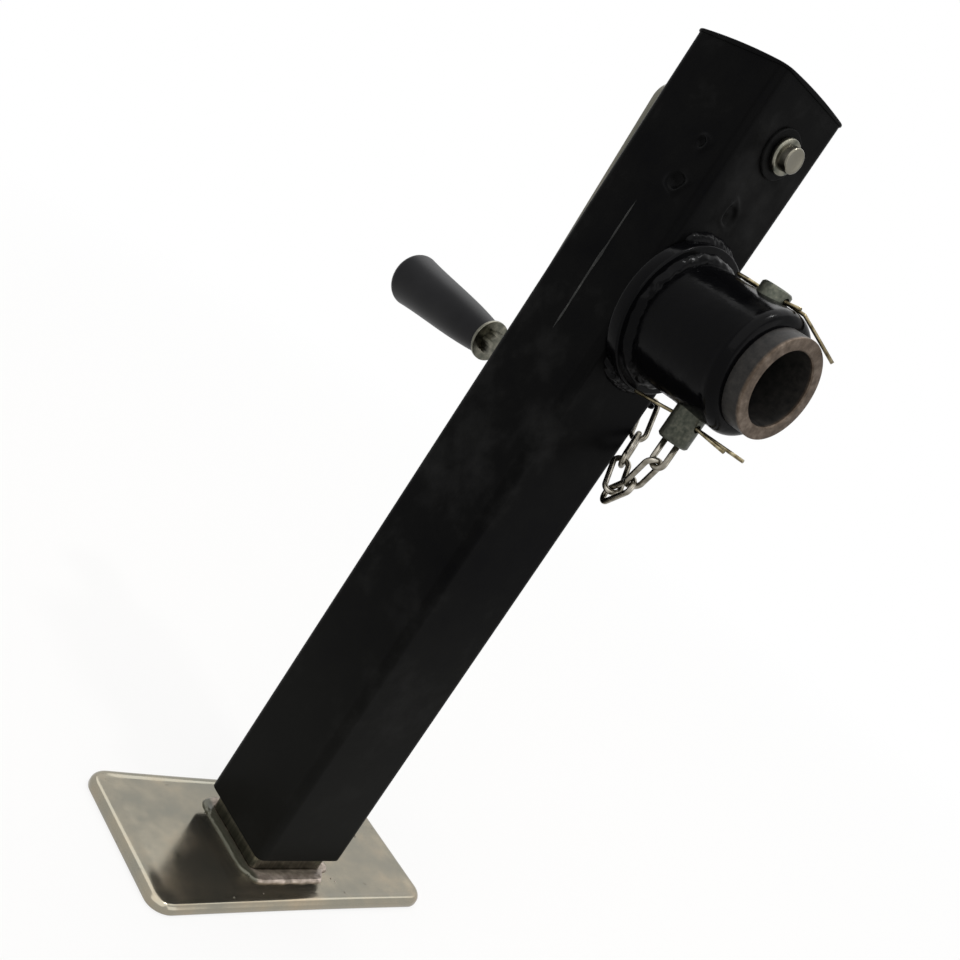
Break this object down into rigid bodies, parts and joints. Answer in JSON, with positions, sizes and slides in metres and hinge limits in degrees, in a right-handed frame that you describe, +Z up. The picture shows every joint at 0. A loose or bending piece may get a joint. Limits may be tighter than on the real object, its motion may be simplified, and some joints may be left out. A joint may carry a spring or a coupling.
{
  "type": "trailer jack",
  "caption": "Swivel-mount trailer jack: square outer tube with a side crank and bevel gears, screw-driven inner leg on a wide foot plate, and a round swivel mount locked by a chained pin.",
  "frame": {"origin": "centre of the foot plate's sole", "axes": "+Z up the tube, +X towards the free end of the swivel mount, +Y towards the side that carries the chain"},
  "size_m": [0.2616, 0.189, 0.4861],
  "materials": {
    "black_paint": "semi-gloss",
    "zinc_plate": "bright zinc plating",
    "dull_zinc": "dull zinc plating",
    "yellow_zinc": "yellow zinc plating",
    "bare_steel": "oiled",
    "bearing_steel": "polished",
    "cast_nut": "greased",
    "grip_plastic": "satin"
  },
  "bodies": {
    "leg": {"foot_plate": "zinc_plate", "foot_weld": "zinc_plate", "inner_leg": "zinc_plate", "lead_nut": "cast_nut"},
    "housing": {"outer_tube": "black_paint", "top_cap": "black_paint", "bearing_plate": "bare_steel", "plate_welds": "black_paint", "upper_race": "bearing_steel", "shaft_bush_mount_side": "black_paint", "shaft_bush_crank_side": "black_paint", "mount_flange": "black_paint", "flange_weld": "black_paint", "mount_sleeve": "black_paint", "sleeve_weld": "black_paint", "chain_anchor": "black_paint"},
    "screw": {"lead_screw": "bare_steel", "screw_stop": "bare_steel", "stop_pin": "bare_steel", "driven_gear": "bare_steel", "driven_gear_pin": "bare_steel", "lower_race": "bearing_steel", "thrust_balls": "bearing_steel", "ball_cage": "bearing_steel"},
    "crank": {"crank_shaft": "zinc_plate", "pinion_gear": "bare_steel", "pinion_pin": "bare_steel", "shaft_washer": "zinc_plate", "arm_spacer": "zinc_plate", "crank_arm": "zinc_plate", "arm_weld": "zinc_plate", "grip_bolt": "zinc_plate", "grip_nut": "zinc_plate", "grip_washer": "zinc_plate"},
    "grip": {"crank_grip": "grip_plastic"},
    "stub": {"swivel_stub": "bare_steel"},
    "pin": {"lock_pin": "dull_zinc", "lower_split_pin": "yellow_zinc", "upper_split_pin": "yellow_zinc", "chain_eye": "dull_zinc"},
    "chain": {"chain_link_1": "dull_zinc", "chain_link_2": "dull_zinc", "chain_link_3": "dull_zinc", "chain_link_4": "dull_zinc", "chain_link_5": "dull_zinc"}
  },
  "joints": [
    {"name": "jack_extend", "type": "slide", "parent": "leg", "child": "housing", "axis": [0, 0, 1], "range_m": [0, 0.30502]},
    {"name": "screw_turn", "type": "hinge", "parent": "housing", "child": "screw", "pos_m": [0, 0, 0.4], "axis": [0, 0, 1], "range_deg": [-21961, 0]},
    {"name": "crank_turn", "type": "hinge", "parent": "housing", "child": "crank", "pos_m": [-0.044, 0, 0.454], "axis": [1, 0, 0], "range_deg": [0, 36600]},
    {"name": "grip_spin", "type": "hinge", "parent": "crank", "child": "grip", "pos_m": [-0.1, 0.00537, 0.30009], "axis": [1, 0, 0], "continuous": true},
    {"name": "mount_swivel", "type": "hinge", "parent": "housing", "child": "stub", "pos_m": [0.06, 0, 0.365], "axis": [1, 0, 0], "range_deg": [-1.5, 1.5]},
    {"name": "pin_lift", "type": "slide", "parent": "housing", "child": "pin", "axis": [0, 0, 1], "range_m": [0, 0.003]},
    {"name": "chain_swing", "type": "hinge", "parent": "pin", "child": "chain", "pos_m": [0.073, 0, 0.305], "axis": [-0.7698, 0.5709, 0.2854], "range_deg": [-2, 2]}
  ],
  "couplings": [
    {"joint": "jack_extend", "follows": "crank_turn", "m_per_rad": 0.00047746},
    {"joint": "screw_turn", "follows": "crank_turn", "ratio": -0.6}
  ]
}
